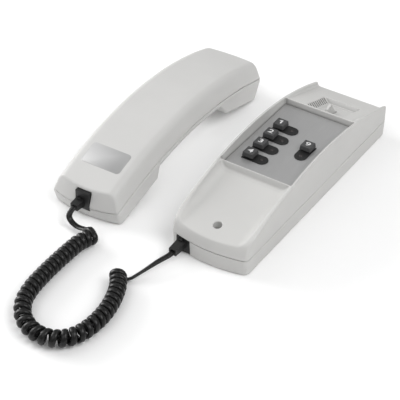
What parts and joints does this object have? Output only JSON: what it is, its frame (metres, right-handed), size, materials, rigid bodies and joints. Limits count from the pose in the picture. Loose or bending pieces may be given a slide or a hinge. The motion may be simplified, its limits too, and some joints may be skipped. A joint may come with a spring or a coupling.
{
  "type": "lift intercom telephone",
  "caption": "Corded intercom telephone: arched wall base with a key panel, sloping trays and a sprung hook, a moulded handset lying beside it and a curly cord between them.",
  "frame": {"origin": "middle of the base's flat back face, which lies on the table and goes against the wall in use", "axes": "+Z away from the back face, +Y from the cord end to the ear end, X across the base"},
  "size_m": [0.1788, 0.3607, 0.0474],
  "materials": {
    "shell_plastic": "fine satin texture, off-white",
    "cover_plastic": "fine satin texture, off-white",
    "handset_plastic": "fine satin texture, off-white",
    "panel_metal": "satin grey",
    "plate_metal": "satin silver",
    "black_plastic": "black",
    "soft_black": "soft black",
    "key_plastic": "dark grey, satin",
    "lamp_plastic": "unlit red lens",
    "board": "green circuit board",
    "terminal_plastic": "green",
    "screw_steel": "zinc plated",
    "cord_rubber": "black, slightly glossy"
  },
  "bodies": {
    "base": {"base_top_shell": "shell_plastic", "base_bottom_cover": "cover_plastic", "key_panel": "panel_metal", "key_surrounds": "black_plastic", "indicator_lamps": "lamp_plastic", "circuit_board": "board", "key_switches": "black_plastic", "board_screws": "screw_steel", "hook_pin": "screw_steel", "hook_switch": "black_plastic", "sounder": "black_plastic", "terminal_block": "terminal_plastic", "base_jack": "black_plastic", "case_screws": "screw_steel", "base_plug": "black_plastic", "curly_cord": "cord_rubber"},
    "hook": {"hook_lever": "shell_plastic"},
    "handset": {"handset_back_shell": "handset_plastic", "handset_front_shell": "handset_plastic", "handset_plate": "plate_metal", "receiver_capsule": "black_plastic", "microphone_capsule": "plate_metal", "microphone_holder": "soft_black", "handset_jack": "black_plastic", "handset_plug": "black_plastic", "handset_screws": "screw_steel"},
    "key_1": {"key_cap_1": "key_plastic"},
    "key_2": {"key_cap_2": "key_plastic"},
    "key_3": {"key_cap_3": "key_plastic"},
    "key_4": {"key_cap_4": "key_plastic"},
    "key_9": {"key_cap_9": "key_plastic"}
  },
  "joints": [
    {"name": "key_1_press", "type": "slide", "parent": "base", "child": "key_1", "axis": [0, 0, -1], "range_m": [0, 0.001], "stiffness_N_per_m": 500, "springref_m": -0.001},
    {"name": "key_2_press", "type": "slide", "parent": "base", "child": "key_2", "axis": [0, 0, -1], "range_m": [0, 0.001], "stiffness_N_per_m": 500, "springref_m": -0.001},
    {"name": "key_3_press", "type": "slide", "parent": "base", "child": "key_3", "axis": [0, 0, -1], "range_m": [0, 0.001], "stiffness_N_per_m": 500, "springref_m": -0.001},
    {"name": "key_4_press", "type": "slide", "parent": "base", "child": "key_4", "axis": [0, 0, -1], "range_m": [0, 0.001], "stiffness_N_per_m": 500, "springref_m": -0.001},
    {"name": "key_9_press", "type": "slide", "parent": "base", "child": "key_9", "axis": [0, 0, -1], "range_m": [0, 0.001], "stiffness_N_per_m": 500, "springref_m": -0.001},
    {"name": "hook_rock", "type": "hinge", "parent": "base", "child": "hook", "pos_m": [0, 0.0598, 0.023], "axis": [-1, 0, 0], "range_deg": [0, 8], "stiffness_Nm_per_rad": 0.05, "springref_deg": -17.19},
    {"name": "handset_lift", "type": "slide", "parent": "base", "child": "handset", "axis": [0, 0, 1], "range_m": [0, 0.12], "deforming": ["curly_cord"]}
  ]
}
